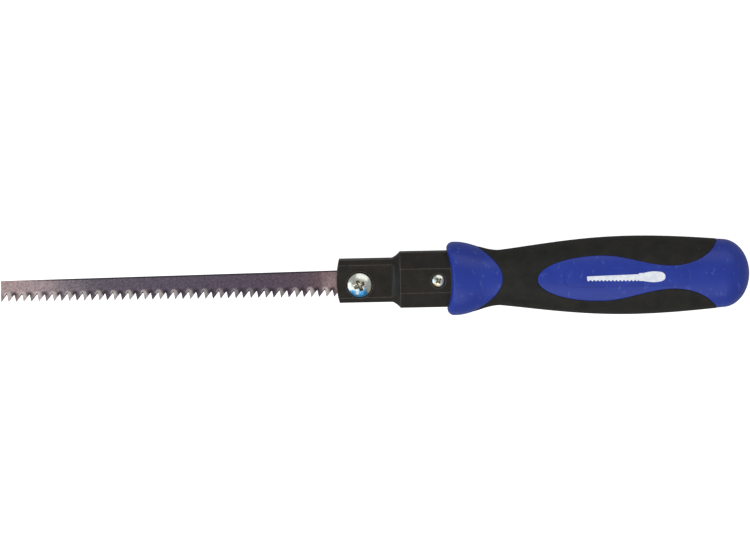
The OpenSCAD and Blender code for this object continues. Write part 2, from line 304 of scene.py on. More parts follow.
def bare_reach(d, y):
    """Distance from the edge of the bare blue areas, in millimetres: positive under the grip."""
    u = y - collar_rise
    collar = (d - (collar_patch - u * u / collar_spread)) / math.hypot(1, 2 * u / collar_spread)
    y = abs(y + panel_drop)
    if d < panel_peak_at:
        long, high = panel_peak_at - panel_tip, panel_peak
        across = math.hypot((panel_peak_at - d) / long, y / high)
        slope = math.hypot((panel_peak_at - d) / long ** 2, y / high ** 2) / max(across, 1e-6)
        panel = (across - 1) / max(slope, 0.02)
    elif d < waist_at:
        t = (d - panel_peak_at) / (waist_at - panel_peak_at)
        fall = (panel_waist - panel_peak) * math.pi / 2 * math.sin(math.pi * t) / (waist_at - panel_peak_at)
        panel = (y - lerp(panel_peak, panel_waist, ease(t))) / math.hypot(1, fall)
    else:
        up, along = panel_waist + flare_rise - y, d - waist_at
        across = math.hypot(along / flare_len, up / flare_rise)
        slope = math.hypot(along / flare_len ** 2, up / flare_rise ** 2) / max(across, 1e-6)
        panel = (1 - across) / max(slope, 0.02)
    return min(collar, panel)


def land_reach(d, y):
    """Distance outside the edge of the label land, in millimetres: negative on the land."""
    u = abs(d - (land_from + land_to) / 2) - ((land_to - land_from) / 2 - land_r)
    v = abs(y) - (land_half - land_r)
    return math.hypot(max(u, 0), max(v, 0)) + min(max(u, v), 0) - land_r


def score(form, measure, level, kept):
    """Cuts the skin along the line where the measure kept at its corners equals level."""
    on_line = [corner for corner in form.verts if abs(corner[measure] - level) < 0.02]
    for corner in on_line:
        corner[measure] = level
    for edge in list(form.edges):
        a, b = edge.verts
        gap_a, gap_b = a[measure] - level, b[measure] - level
        if gap_a * gap_b < 0:
            share = gap_a / (gap_a - gap_b)
            between = {layer: lerp(a[layer], b[layer], share) for layer in kept}
            corner = bmesh.utils.edge_split(edge, a, share)[1]
            for layer, value in between.items():
                corner[layer] = value
            corner[measure] = level
            on_line.append(corner)
    bmesh.ops.connect_verts(form, verts=on_line)


stations = [rim_r * (1 - math.cos(math.radians(a))) for a in range(0, 90, 12)]
stations += [lerp(rim_r, butt_at, k / run_steps) for k in range(run_steps + 1)]
stations += [butt_at + butt_len * math.sin(math.radians(a)) for a in butt_angles]
bar_low, bar_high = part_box("tang_bar")
bar_half_y, bar_half_z = (bar_high.y - bar_low.y) / 2 / mm, (bar_high.z - bar_low.z) / 2 / mm
spigot_rings = [box_ring(x, bar_half_y, bar_half_z) for x in (bar_high.x / mm, x_face - spigot_len)]
for x, r in ((x_face - spigot_len, spigot_r - 0.4), (x_face - spigot_len + 0.4, spigot_r), (None, spigot_r)):
    hoop = [(r * math.cos(a), r * math.sin(a)) for a in turns(around)]
    spigot_rings.append([(x_rim + face_curve(y) if x is None else x, y, z) for y, z in hoop])
rim_ring = handle_ring(0)
for share in (0.25, 0.5, 0.75):
    blend = [(lerp(p[1], q[1], share), lerp(p[2], q[2], share)) for p, q in zip(spigot_rings[4], rim_ring)]
    spigot_rings.append([(x_rim + face_curve(y), y, z) for y, z in blend])
handle_form = skin(*loft(spigot_rings + [handle_ring(d) for d in stations]))

bare_edge = handle_form.verts.layers.float.new("bare_edge")
land_edge = handle_form.verts.layers.float.new("land_edge")
for corner in handle_form.verts:
    d, y = corner.co.x / mm - x_rim, corner.co.y / mm
    outside = corner.index >= len(spigot_rings) * around
    corner[bare_edge] = bare_reach(d, y) if outside else -20.0
    corner[land_edge] = land_reach(d, y) if outside else 20.0
for level in edge_rows:
    score(handle_form, bare_edge, level, (bare_edge, land_edge))
for level in (-land_slope, 0.0):
    score(handle_form, land_edge, level, (bare_edge, land_edge))
bmesh.ops.dissolve_degenerate(handle_form, edges=handle_form.edges, dist=0.012 * mm)
bmesh.ops.triangulate(handle_form, faces=[face for face in handle_form.faces if 4 < len(face.verts) < around])
handle_form.normal_update()


def under_grip(face):
    return sum(corner[bare_edge] for corner in face.verts) > 1e-6


def rounded_off(distance, run, drop):
    """How far a rounded edge has dropped at that distance inside it."""
    t = min(max(distance / run, 0.0), 1.0)
    return drop * (1 - math.sqrt(1 - (1 - t) ** 2))


def loose(name, made):
    """An object that isn't a piece yet."""
    mesh = bpy.data.meshes.new(name)
    made.to_mesh(mesh)
    made.free()
    shaped = bpy.data.objects.new(name, mesh)
    bpy.context.scene.collection.objects.link(shaped)
    return shaped


def settle(shaped, materials, body, slot, replaced, crease=38):
    """Makes a piece of an object: its finish, its shading and its place in the frame."""
    mesh = shaped.data
    mesh.materials.clear()
    for material in materials:
        mesh.materials.append(material)
    mesh.polygons.foreach_set("use_smooth", [True] * len(mesh.polygons))
    mesh.set_sharp_from_angle(angle=math.radians(crease))
    mesh.update()
    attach(shaped, body)
    if replaced:
        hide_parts(*replaced)
    return shaped


def piece(name, made, *told, **more):
    return settle(loose(name, made), *told, **more)


# Skin of a moulding: patches between two tones, a fine spark-eroded grain and a change of gloss.
moulded_skin, given, gives = effect(
    "Moulded skin",
    [("Tone", COLOUR, (0, 0, 0, 1)), ("Deep Tone", COLOUR, (0, 0, 0, 1)), ("Patch Size", FLOAT, 9.0),
     ("Grain Size", FLOAT, 0.3), ("Smoothest", FLOAT, 0.3), ("Roughest", FLOAT, 0.5)],
    [("Color", COLOUR), ("Roughness", FLOAT), ("Height", FLOAT)])
place, _ = millimetres(moulded_skin)
patches = ramp(moulded_skin, noise(moulded_skin, place, given["Patch Size"], 4.0, 0.6), 0.3, 0.7)
grain = noise(moulded_skin, place, given["Grain Size"], 2.0, 0.5)
speckled = reckon(moulded_skin, "ADD", times(moulded_skin, patches, 0.7), times(moulded_skin, grain, 0.3))
moulded_skin.links.new(tint(moulded_skin, speckled, given["Deep Tone"], given["Tone"]), gives["Color"])
gloss_span = reckon(moulded_skin, "SUBTRACT", given["Roughest"], given["Smoothest"])
gloss = reckon(moulded_skin, "MULTIPLY_ADD", speckled, gloss_span, given["Smoothest"])
moulded_skin.links.new(gloss, gives["Roughness"])
moulded_skin.links.new(grain, gives["Height"])

# Hairline scuffs from handling, thicker in some places than in others.
handling_scuffs, given, gives = effect(
    "Handling scuffs", [("Spacing", FLOAT, 8.0), ("Width", FLOAT, 0.006)], [("Mask", FLOAT)])
place, _ = millimetres(handling_scuffs)
wander = noise(handling_scuffs, place, given["Spacing"], 1.0, stretch=(1.0, 0.25, 0.4))
off_line = reckon(handling_scuffs, "ABSOLUTE", reckon(handling_scuffs, "SUBTRACT", wander, 0.5))
line = ramp(handling_scuffs, off_line, given["Width"], 0.0)
where = ramp(handling_scuffs, noise(handling_scuffs, place, 5.0, 3.0), 0.5, 0.62)
handling_scuffs.links.new(times(handling_scuffs, line, where), gives["Mask"])

blue_plastic, tree, shader = finish_named("Blue moulded polypropylene", IOR=1.49, Specular_IOR_Level=0.3)
skin_of = use(tree, moulded_skin, Tone=(0.0168, 0.0415, 0.318, 1), Deep_Tone=(0.0125, 0.0315, 0.262, 1),
              Patch_Size=14.0, Grain_Size=0.35, Smoothest=0.3, Roughest=0.44)
scuffs = use(tree, handling_scuffs, Spacing=7.0, Width=0.004)["Mask"]
place, _ = millimetres(tree)
# Small lighter blotches painted over the blue are painted highlights; the scuffs mixed in with them are real
# wear.
highlight_blotches = ramp(tree, noise(tree, place, 2.6, 1.0, stretch=(0.7, 1.3, 1.0)), 0.62, 0.74)
scuffs_and_highlights = reckon(tree, "ADD", times(tree, scuffs, 0.13), times(tree, highlight_blotches, 0.28), clamp=True)
scuffed_and_highlit_blue = tint(tree, scuffs_and_highlights, skin_of["Color"], (0.09, 0.13, 0.42, 1))
feed(tree, shader, Base_Color=scuffed_and_highlit_blue, Roughness=reckon(tree, "MULTIPLY_ADD", scuffs, 0.2, skin_of["Roughness"]))
flow_marks = noise(tree, place, 3.2, 2.0, stretch=(0.5, 1.6, 1.0))
relief(tree, shader, skin_of["Height"], 0.012 * mm, (flow_marks, 0.05 * mm))

core_form = handle_form.copy()
bare_edge = core_form.verts.layers.float["bare_edge"]
land_edge = core_form.verts.layers.float["land_edge"]
normals = {corner: corner.normal.copy() for corner in core_form.verts}
for corner, out in normals.items():
    bare, land = corner[bare_edge], corner[land_edge]
    if -core_edge_run < bare <= 0:
        corner.co -= out * rounded_off(-bare, core_edge_run, core_edge_drop) * mm
    if land < 0 and corner.co.z > bench_lift:
        corner.co.z -= land_sink * min(1.0, -land / land_slope) * mm
    elif land <= -land_slope + 1e-4:
        corner.co.z = core_low.z
covered = [face for face in core_form.faces if under_grip(face)]
inner = bmesh.ops.extrude_face_region(core_form, geom=covered)["geom"]
core_form.normal_update()
inner_corners = [part for part in inner if isinstance(part, bmesh.types.BMVert)]
sunk = {corner: corner.co - corner.normal * grip_t * mm for corner in inner_corners}
for corner, place in sunk.items():
    corner.co = place
bmesh.ops.delete(core_form, geom=[face for face in covered if face.is_valid], context="FACES")
bmesh.ops.recalc_face_normals(core_form, faces=core_form.faces)
piece("handle_core_moulding", core_form, [blue_plastic], "handle", "blue_plastic", ["handle_core"])

# --------------------------------------------------
# The grip: black thermoplastic rubber moulded over the core in a second shot. It stands a hair
# proud of the blue and rounds over all along its edge.
# --------------------------------------------------
grip_proud, grip_edge_run, grip_edge_drop = 0.1, 0.5, 0.22

soft_rubber, tree, shader = finish_named("Black soft-touch rubber", IOR=1.45, Specular_IOR_Level=0.16)
skin_of = use(tree, moulded_skin, Tone=(0.026, 0.024, 0.019, 1), Deep_Tone=(0.0105, 0.0105, 0.0098, 1),
              Patch_Size=6.0, Grain_Size=0.22, Smoothest=0.52, Roughest=0.74)
scuffs = use(tree, handling_scuffs, Spacing=11.0, Width=0.006)["Mask"]
scuffed = tint(tree, times(tree, scuffs, 0.4), skin_of["Color"], (0.06, 0.058, 0.055, 1))
feed(tree, shader, Base_Color=scuffed, Roughness=skin_of["Roughness"])
relief(tree, shader, skin_of["Height"], 0.035 * mm)

bare_edge = handle_form.verts.layers.float["bare_edge"]
blue_faces = [face for face in handle_form.faces if not under_grip(face)]
bmesh.ops.delete(handle_form, geom=blue_faces, context="FACES")
for corner in handle_form.verts:
    rise = grip_proud - rounded_off(corner[bare_edge], grip_edge_run, grip_edge_drop)
    corner.co += corner.normal * rise * mm
soft_grip = piece("soft_grip_overmould", handle_form, [soft_rubber], "handle", "soft_black", ["soft_grip"])
grip_wall = soft_grip.modifiers.new("Wall of the grip", "SOLIDIFY")
grip_wall.thickness, grip_wall.offset = grip_t * mm, -1

# --------------------------------------------------
# The label on the land: a small generic saw, printed in pale ink. The ink is a thin film that
# follows the plastic under it.
# --------------------------------------------------
print_from, print_len, print_half = 58.4, 33.0, 2.3
ink_film = 0.03                                # half the thickness of the print
blade_share, ferrule_share = 0.66, 0.72        # how far along the print the blade and then the ferrule end
print_bites = 21.25                            # printed teeth to the whole length of the print

pale_ink, tree, shader = finish_named("Pale pad-printed ink", IOR=1.5, Specular_IOR_Level=0.4)
skin_of = use(tree, moulded_skin, Tone=(0.90, 0.91, 0.93, 1), Deep_Tone=(0.68, 0.71, 0.78, 1),
              Patch_Size=1.6, Grain_Size=0.25, Smoothest=0.4, Roughest=0.6)
feed(tree, shader, Base_Color=skin_of["Color"], Roughness=skin_of["Roughness"])
relief(tree, shader, skin_of["Height"], 0.006 * mm)


def land_height(d, y):
    """Height of the upper land over the tool's axis."""
    share = max(0.0, 1 - (abs(y) / half_height(d)) ** section_power)
    return half_thickness(d) * share ** (1 / section_power) - land_sink


def saw_sign(t):
    """Lower and upper edge of the printed saw at t along it, each from -1 to 1."""
    if t < blade_share:
        bite = abs((t * print_bites) % 1 - 0.5) * 0.62
        return lerp(-0.62, -0.80, t / blade_share) + bite, lerp(0.30, 0.52, t / blade_share)
    if t < ferrule_share:
        return -0.72, 0.72
    u = (t - ferrule_share) / (1 - ferrule_share)
    swell = 0.72 + 0.26 * math.sin(math.pi * min(1, u * 1.05))
    end = math.sqrt(max(0.0, 1 - max(0.0, (u - 0.8) / 0.2) ** 2))
    return -swell * end, swell * end


columns, strips = 150, 4
points = []
for lift in (ink_film, -ink_film):
    for k in range(columns + 1):
        t = 0.004 + 0.992 * k / columns
        low, high = saw_sign(t)
        d = print_from + print_len * t
        for s in range(strips + 1):
            y = lerp(low, high, s / strips) * print_half
            points.append((x_rim + d, y, land_height(d, y) + lift))
row, under = strips + 1, (columns + 1) * (strips + 1)
faces = []
for k in range(columns):
    for s in range(strips):
        a = k * row + s
        faces += [(a, a + row, a + row + 1, a + 1),
                  (under + a, under + a + 1, under + a + row + 1, under + a + row)]
    for s in (0, strips):
        a = k * row + s
        faces.append((a, a + row, under + a + row, under + a))
for k in (0, columns):
    for s in range(strips):
        a = k * row + s
        faces.append((a, a + 1, under + a + 1, under + a))
piece("label_print", skin(points, faces), [pale_ink], "handle", "blue_plastic", [])

# --------------------------------------------------
# The blade holder: zinc alloy, die cast, blackened and lacquered. A narrow split front grips
# the blade, a hollow step runs up to the eight-sided rear, and a blind socket takes the spigot.
# --------------------------------------------------
front_w, front_t, front_chamfer, front_bulge, front_len = 17.9, 15.0, 2.1, 1.2, 23.15
rear_w, rear_t, rear_chamfer, step_len = 23.2, 22.4, 6.5, 3.6
slit_t, slit_end = 1.2, 24.95
washer_seat, seat_r = 1.6, 5.55
nut_pocket_af, nut_pocket_t = 8.1, 4.3
retain_seat, retain_seat_r = 0.9, 3.05
screw_hole_r, retain_hole_r = 2.8, 1.6         # clearance round the two screws
tang_low, tang_high = -6.7, 4.45               # the inner end of the slit, just wide enough for the tang
seat_gap = 0.05
cast_edge = 0.45                               # radius left by the die along every edge
past_side = 14                                 # how far the outline's side view runs out past the casting

x_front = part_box("blade_holder")[0].x / mm
x_step = x_front + front_len
clamp_low, clamp_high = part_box("clamp_screw")
x_clamp, y_clamp = (clamp_low.x + clamp_high.x) / 2 / mm, (clamp_low.y + clamp_high.y) / 2 / mm
retain_low, retain_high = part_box("retaining_screw")
x_retain = (retain_low.x + retain_high.x) / 2 / mm

# Edges painted lighter: partly wear of the coating, partly a painted highlight where the rounding catches the
# light.
worn_and_highlighted_edges, given, gives = effect(
    "Worn and highlighted edges", [("Reach", FLOAT, 0.0005), ("Gain", FLOAT, 3.0)], [("Mask", FLOAT)])
place, _ = millimetres(worn_and_highlighted_edges)
softened = node(worn_and_highlighted_edges, "ShaderNodeBevel", {"Radius": given["Reach"]}, samples=6).outputs[0]
true_normal = node(worn_and_highlighted_edges, "ShaderNodeNewGeometry").outputs["Normal"]
both_ways = node(worn_and_highlighted_edges, "ShaderNodeVectorMath", {0: softened, 1: true_normal}, operation="DOT_PRODUCT")
away = reckon(worn_and_highlighted_edges, "SUBTRACT", 1.0, both_ways.outputs["Value"])
edge_share = reckon(worn_and_highlighted_edges, "MULTIPLY", away, given["Gain"], clamp=True)
ragged = ramp(worn_and_highlighted_edges, noise(worn_and_highlighted_edges, place, 1.2, 4.0), 0.3, 0.6, 0.35, 1.0)
worn_and_highlighted_edges.links.new(times(worn_and_highlighted_edges, edge_share, ragged), gives["Mask"])

cast_black, tree, shader = finish_named("Blackened die casting", IOR=1.5, Specular_IOR_Level=0.2)
skin_of = use(tree, moulded_skin, Tone=(0.0215, 0.0182, 0.0135, 1), Deep_Tone=(0.0125, 0.0108, 0.0082, 1),
              Patch_Size=4.5, Grain_Size=0.45, Smoothest=0.3, Roughest=0.46)
# The lighter lines along the casting's edges are partly wear and partly painted highlight.
wear_and_highlight = use(tree, worn_and_highlighted_edges, Reach=0.0006, Gain=10.0)["Mask"]
scuffs = use(tree, handling_scuffs, Spacing=5.0, Width=0.005)["Mask"]
wear_scuffs_and_highlights = reckon(tree, "MAXIMUM", times(tree, wear_and_highlight, 0.8), times(tree, scuffs, 0.35))
feed(tree, shader, Base_Color=tint(tree, wear_scuffs_and_highlights, skin_of["Color"], (0.17, 0.145, 0.12, 1)),
     Roughness=skin_of["Roughness"])
relief(tree, shader, skin_of["Height"], 0.02 * mm)


def octagon(x, w, t, c):
    """Ring of a rectangle across the tool with chamfered corners."""
    quarter = [(w / 2, t / 2 - c), (w / 2 - c, t / 2), (c - w / 2, t / 2), (-w / 2, t / 2 - c)]
    return [(x, y, z) for y, z in quarter] + [(x, -y, -z) for y, z in quarter]


def grown(x, u):
    """Section of the casting that has grown by the share u from its front part to its rear part."""
    sizes = ((front_w, rear_w), (front_t, rear_t), (front_chamfer, rear_chamfer))
    return octagon(x, *(lerp(front, rear, u) for front, rear in sizes))


def upright(outline, z_from, z_to):
    """Prism on an outline in the tool's side view."""
    return loft([[(x, y, z) for x, y in outline] for z in (z_from, z_to)])


def circle(x, y, r, count=64):
    return [(x + r * math.cos(a), y + r * math.sin(a)) for a in turns(count)]


def box_outline(x_from, x_to, y_from, y_to):
    return [(x_from, y_from), (x_to, y_from), (x_to, y_to), (x_from, y_to)]


def set_shape(shaped):
    """Turns an object's modifiers into its mesh."""
    bpy.context.view_layer.update()
    worked = shaped.evaluated_get(bpy.context.evaluated_depsgraph_get())
    made = bpy.data.meshes.new_from_object(worked)
    shaped.modifiers.clear()
    shaped.data = made


def carve(shaped, cutters, operation="DIFFERENCE"):
    """Cuts the shape with each cutter in turn."""
    for points, faces in cutters:
        cutter = loose("cutter", skin(points, faces))
        cutting = shaped.modifiers.new("Cut", "BOOLEAN")
        cutting.operation, cutting.object, cutting.solver = operation, cutter, "EXACT"
        set_shape(shaped)
        bpy.data.objects.remove(cutter)


def break_edges(shaped, width, segments=3, angle=30):
    """Rounds every edge sharper than the angle, then clears faces of almost no size."""
    rounding = shaped.modifiers.new("Rounded edges", "BEVEL")
    rounding.width, rounding.segments = width * mm, segments
    rounding.limit_method, rounding.angle_limit = "ANGLE", math.radians(angle)
    rounding.use_clamp_overlap, rounding.miter_outer = True, "MITER_ARC"
    set_shape(shaped)
    tidy = bmesh.new()
    tidy.from_mesh(shaped.data)
    bmesh.ops.remove_doubles(tidy, verts=tidy.verts, dist=0.004 * mm)
    bmesh.ops.dissolve_degenerate(tidy, edges=tidy.edges, dist=0.004 * mm)
    tidy.to_mesh(shaped.data)
    tidy.free()


front_r = (front_w ** 2 / 4 + front_bulge ** 2) / (2 * front_bulge)
back_r = dish_r - seat_gap
side_view = []
for k in range(25):
    y = lerp(-front_w / 2 - 0.3, front_w / 2 + 0.3, k / 24)
    side_view.append((x_front + front_r - math.sqrt(front_r ** 2 - y * y), y))
side_view.append((x_step, past_side))
for k in range(33):
    y = lerp(past_side, -past_side, k / 32)
    side_view.append((x_face - seat_gap - back_r + math.sqrt(back_r ** 2 - y * y), y))
side_view.append((x_step, -past_side))

run = [grown(x_front - 1, 0)]
run += [grown(x_step + step_len * k / 9, (k / 9) ** 1.5) for k in range(10)]
run.append(grown(x_face + 1, 1))
blade_holder = loose("blade_holder_casting", skin(*loft(run)))
carve(blade_holder, [upright(side_view, -rear_t, rear_t)], "INTERSECT")
socket_r = spigot_r + seat_gap
socket = [[(x, socket_r * math.cos(a), socket_r * math.sin(a)) for a in turns(64)]
          for x in (x_face - spigot_len - seat_gap, x_face + 2)]
hexagon = circle(x_clamp, y_clamp, nut_pocket_af / 2 / math.cos(math.pi / 6), 6)
carve(blade_holder, [
    upright(box_outline(x_front - 2, x_front + slit_end, -front_w, front_w), -slit_t / 2, slit_t / 2),
    upright(box_outline(x_step, x_face - spigot_len, tang_low, tang_high), -slit_t / 2, slit_t / 2),
    loft(socket),
    upright(circle(x_clamp, y_clamp, screw_hole_r), -front_t, front_t),
    upright(circle(x_clamp, y_clamp, seat_r), front_t / 2 - washer_seat, front_t),
    upright(hexagon, -front_t, -front_t / 2 + nut_pocket_t),
    upright(circle(x_retain, 0, retain_hole_r, 32), 1, rear_t),
    upright(circle(x_retain, 0, retain_seat_r, 48), rear_t / 2 - retain_seat, rear_t)])
break_edges(blade_holder, cast_edge)
settle(blade_holder, [cast_black], "handle", "cast_black", ["blade_holder"], 46)
# The big flats stay flat in the shading beside the rounded edges.
for polygon in blade_holder.data.polygons:
    tilt = math.degrees(math.atan2(polygon.normal.z, polygon.normal.y)) % 45
    if abs(polygon.normal.x) < 0.01 and min(tilt, 45 - tilt) < 0.5 and polygon.area > 0.8 * mm * mm:
        polygon.use_smooth = False

# --------------------------------------------------
# The retaining screw: a small zinc-plated pan head with a cross recess, driven through the
# holder's upper wall and the core's spigot into the tang bar.
# --------------------------------------------------
retain_r, retain_head_r, retain_head_h, retain_pitch = 1.45, 2.6, 1.9, 0.5

zinc_plate, tree, shader = finish_named("Passivated zinc plate", Metallic=1.0)
place, (_, y_mm, _) = millimetres(tree)
film = noise(tree, place, 2.2, 4.0, 0.65)
# The lower side of each head is painted blue: a painted reflection of cool surroundings.
low_side = reckon(tree, "MULTIPLY_ADD", film, 9.0, y_mm)
blue_reflection_painted = tint(tree, ramp(tree, low_side, 2.6, -0.6), (0.62, 0.64, 0.58, 1), (0.045, 0.24, 0.48, 1))
gilded = tint(tree, ramp(tree, film, 0.54, 0.63), blue_reflection_painted, (0.64, 0.50, 0.26, 1))
scuffs = use(tree, handling_scuffs, Spacing=2.5, Width=0.012)["Mask"]
# The heads' rims are painted bright: partly wear, partly painted highlight.
wear_and_highlight = use(tree, worn_and_highlighted_edges, Reach=0.00025, Gain=3.0)["Mask"]
bright = tint(tree, reckon(tree, "MAXIMUM", scuffs, wear_and_highlight), gilded, (0.85, 0.85, 0.83, 1))
# The recesses of the heads are painted darker and browner the more closed in they are: painted shade.
open_share = node(tree, "ShaderNodeAmbientOcclusion", {"Distance": 1.6 * mm}, samples=8).outputs["AO"]
recess_shade_painted = tint(tree, ramp(tree, open_share, 0.35, 0.85), (0.20, 0.15, 0.06, 1), bright)
feed(tree, shader, Base_Color=recess_shade_painted,
     Roughness=ramp(tree, noise(tree, place, 0.8, 3.0), 0.3, 0.7, 0.16, 0.34))
relief(tree, shader, noise(tree, place, 0.5, 3.0), 0.012 * mm)


def screw(name, x, y, under, size, head_r, head_h, length, pitch, recess, turn, body, node_name):
    """A pan head with its cross recess, on a rolled thread; under is the height of the head's underside."""
    count = 48                                 # points round the screw
    lead, turn_steps = 0.35, 6                 # chamfer at the end of the shank, and rings to each turn
    rim, root = head_h * 0.45, size - pitch * 0.6
    dome = head_h - rim
    ball = (head_r ** 2 + dome ** 2) / (2 * dome)

    def rounds(profile):
        return [[(px, py, under + z) for px, py in circle(x, y, r, count)] for r, z in profile]

    rings = rounds([(root * 0.7, -length), (root, -length + lead)])
    for k in range(1, int((length - 0.6) / (pitch / turn_steps))):
        z = -length + lead + k * pitch / turn_steps
        ring = []
        for a in turns(count):
            phase = (z / pitch - a / (2 * math.pi)) % 1
            fade = min(1.0, k / 8)
            r = root + (size - root) * fade * min(1.0, 1.25 * (1 - abs(2 * phase - 1)))
            ring.append((x + r * math.cos(a), y + r * math.sin(a), under + z))
        rings.append(ring)
    cap = [(size, -0.15), (size + 0.12, 0.0), (head_r - 0.18, 0.0), (head_r - 0.05, 0.06),
           (head_r, 0.2), (head_r, rim * 0.8), (head_r - 0.04, rim)]
    for k in range(1, 10):
        r = (head_r - 0.04) * math.cos(math.radians(10 * k - 1))
        cap.append((r, head_h - ball + math.sqrt(ball ** 2 - r * r) - 0.01))
    shaped = loose(name, skin(*loft(rings + rounds(cap))))
    span, depth = recess
    plus = []
    for quarter in range(4):
        for u, v in ((span / 2, -0.13 * span), (span / 2, 0.13 * span), (0.16 * span, 0.16 * span)):
            a = math.radians(turn) + quarter * math.pi / 2
            plus.append((u * math.cos(a) - v * math.sin(a), u * math.sin(a) + v * math.cos(a)))
    levels = ((1.15, 0.8), (1.0, -0.1 * depth), (0.8, -0.6 * depth), (0.4, -depth))
    cutter = loft([[(x + u * s, y + v * s, under + head_h + z) for u, v in plus] for s, z in levels])
    carve(shaped, [cutter])
    break_edges(shaped, 0.07, 2, 42)
    return settle(shaped, [zinc_plate], body, "zinc_plate", [node_name], 50)


retain_under = rear_t / 2 - retain_seat + 0.02
retain_len = (retain_under + bench_lift / mm) - retain_low.z / mm
screw("retaining_screw_cut", x_retain, 0, retain_under, retain_r, retain_head_r, retain_head_h,
      retain_len, retain_pitch, (2.9, 1.2), 35, "handle", "retaining_screw")

# --------------------------------------------------
# The blade: thin spring steel, ground, toothed and hardened, with the colours of the tempering
# heat left on. Its teeth are filed from alternate sides and set to alternate sides.
# --------------------------------------------------
blade_out, blade_half_t = 140.75, 0.5
toe_back, heel_back, toe_teeth, heel_teeth = 2.75, 4.35, 6.0, 6.6
tooth_pitch, tooth_depth, tooth_lean, teeth = 3.175, 2.95, 0.72, 45
filed_lift, gullet_round, tooth_set, tip_width = 0.85, 0.42, 0.2, 0.26
slot_r = 2.8                                   # half the width of the tang's open slot
back_round = 0.16                              # rounding along the back of the blade
root_up = 1.25                                 # height over the gullets of the line where the set begins
set_teeth = teeth - 2                          # the last two are held in the slit and have no set

blade_low, blade_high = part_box("blade")
x_toe, x_tail = blade_low.x / mm, blade_high.x / mm


def tooth_line(x):
    return -lerp(toe_teeth, heel_teeth, min(1.0, (x - x_toe) / blade_out))


def gullet_line(x):
    return tooth_line(x) + tooth_depth


def back_line(x):
    return lerp(toe_back, heel_back, min(1.0, (x - x_toe) / blade_out))


tempered, tree, shader = finish_named("Tempered blade steel", Metallic=1.0)
place, (x_mm, y_mm, _) = millimetres(tree)
wavering = reckon(tree, "MULTIPLY_ADD", noise(tree, place, 6.0, 3.0), 10.0, -5.0)
from_toe = reckon(tree, "ADD", reckon(tree, "SUBTRACT", x_mm, x_toe), wavering)
colours = node(tree, "ShaderNodeValToRGB", {"Fac": reckon(tree, "DIVIDE", from_toe, blade_out)})
heat = ((0.0, (0.50, 0.385, 0.375)), (0.13, (0.47, 0.375, 0.395)), (0.19, (0.28, 0.24, 0.265)),
        (0.28, (0.168, 0.146, 0.176)), (0.5, (0.143, 0.121, 0.158)), (0.75, (0.134, 0.108, 0.146)),
        (0.9, (0.145, 0.106, 0.136)), (0.955, (0.19, 0.137, 0.15)), (1.0, (0.46, 0.34, 0.34)))
steps = colours.color_ramp.elements
for k, (at, colour) in enumerate(heat):
    step = steps[k] if k < 2 else steps.new(at)
    step.position, step.color = at, (*colour, 1)
lay = use(tree, rolled_lines, Line_Width=0.22, Patch_Size=0.9,
          Low_Tone=(0.60, 0.61, 0.64, 1), High_Tone=(1.30, 1.24, 1.22, 1))
plate = tint(tree, 1.0, colours.outputs["Color"], lay["Color"], "MULTIPLY")
# Every second gullet and tooth is painted pale as a highlight, most near the toe and the heel;
# the other gullets are darkened, and the other teeth are painted dark as shade.
pair = tooth_pitch * 2
apex = tooth_pitch - tooth_lean
true_x = reckon(tree, "SUBTRACT", x_mm, x_toe)
teeth_slope, back_slope = -(heel_teeth - toe_teeth) / blade_out, (heel_back - toe_back) / blade_out
gullets_y = reckon(tree, "MULTIPLY_ADD", true_x, teeth_slope, tooth_depth - toe_teeth)
up = reckon(tree, "SUBTRACT", y_mm, gullets_y)


def beside(shift):
    """Signed distance along the blade from the nearest of every second tooth or gullet."""
    cycled = reckon(tree, "MODULO", reckon(tree, "ADD", true_x, pair * 3 / 2 - shift), pair)
    return reckon(tree, "SUBTRACT", cycled, tooth_pitch)


def round_gullet(shift):
    """Blot round the bottom of every second gullet."""
    along = beside(apex + shift)
    squared = reckon(tree, "ADD", times(tree, along, along), times(tree, up, up))
    return ramp(tree, reckon(tree, "SQRT", squared), 1.8, 0.6)


def on_tooth(shift):
    """Every second tooth, from its root down to its point."""
    side = ramp(tree, reckon(tree, "ABSOLUTE", beside(shift)), 1.7, 1.1)
    return times(tree, side, ramp(tree, up, 0.4, -1.2))


ends = reckon(tree, "MAXIMUM", ramp(tree, from_toe, 105.0, 62.0), ramp(tree, from_toe, 112.0, 134.0))
toothed = ramp(tree, true_x, teeth * tooth_pitch + 0.6, teeth * tooth_pitch - 0.6)
highlight_share = times(tree, toothed, reckon(tree, "MULTIPLY_ADD", ends, 0.62, 0.38))
coloured = plate
# Painted highlights first, then darker blots round the other gullets and painted shade on the other teeth.
for blot, share, strength, colour in ((round_gullet(0.25), highlight_share, 0.66, (0.80, 0.70, 0.66, 1)),
                                      (on_tooth(tooth_pitch), highlight_share, 0.5, (0.80, 0.72, 0.69, 1)),
                                      (round_gullet(tooth_pitch), toothed, 0.8, (0.045, 0.036, 0.045, 1)),
                                      (on_tooth(0), toothed, 0.45, (0.07, 0.055, 0.07, 1))):
    coloured = tint(tree, times(tree, blot, times(tree, share, strength)), coloured, colour)
# A dark band along the back edge, starting a little past the toe, is painted shade on its rounding.
back_gap = reckon(tree, "SUBTRACT", reckon(tree, "MULTIPLY_ADD", true_x, back_slope, toe_back), y_mm)
back_dark = times(tree, ramp(tree, back_gap, 0.75, 0.3), ramp(tree, from_toe, 8.0, 26.0))
edged = tint(tree, times(tree, back_dark, 0.85), coloured, (0.03, 0.027, 0.035, 1))
feed(tree, shader, Base_Color=edged, Roughness=ramp(tree, noise(tree, place, 1.1, 4.0), 0.3, 0.7, 0.3, 0.44))
relief(tree, shader, lay["Height"], 0.012 * mm)

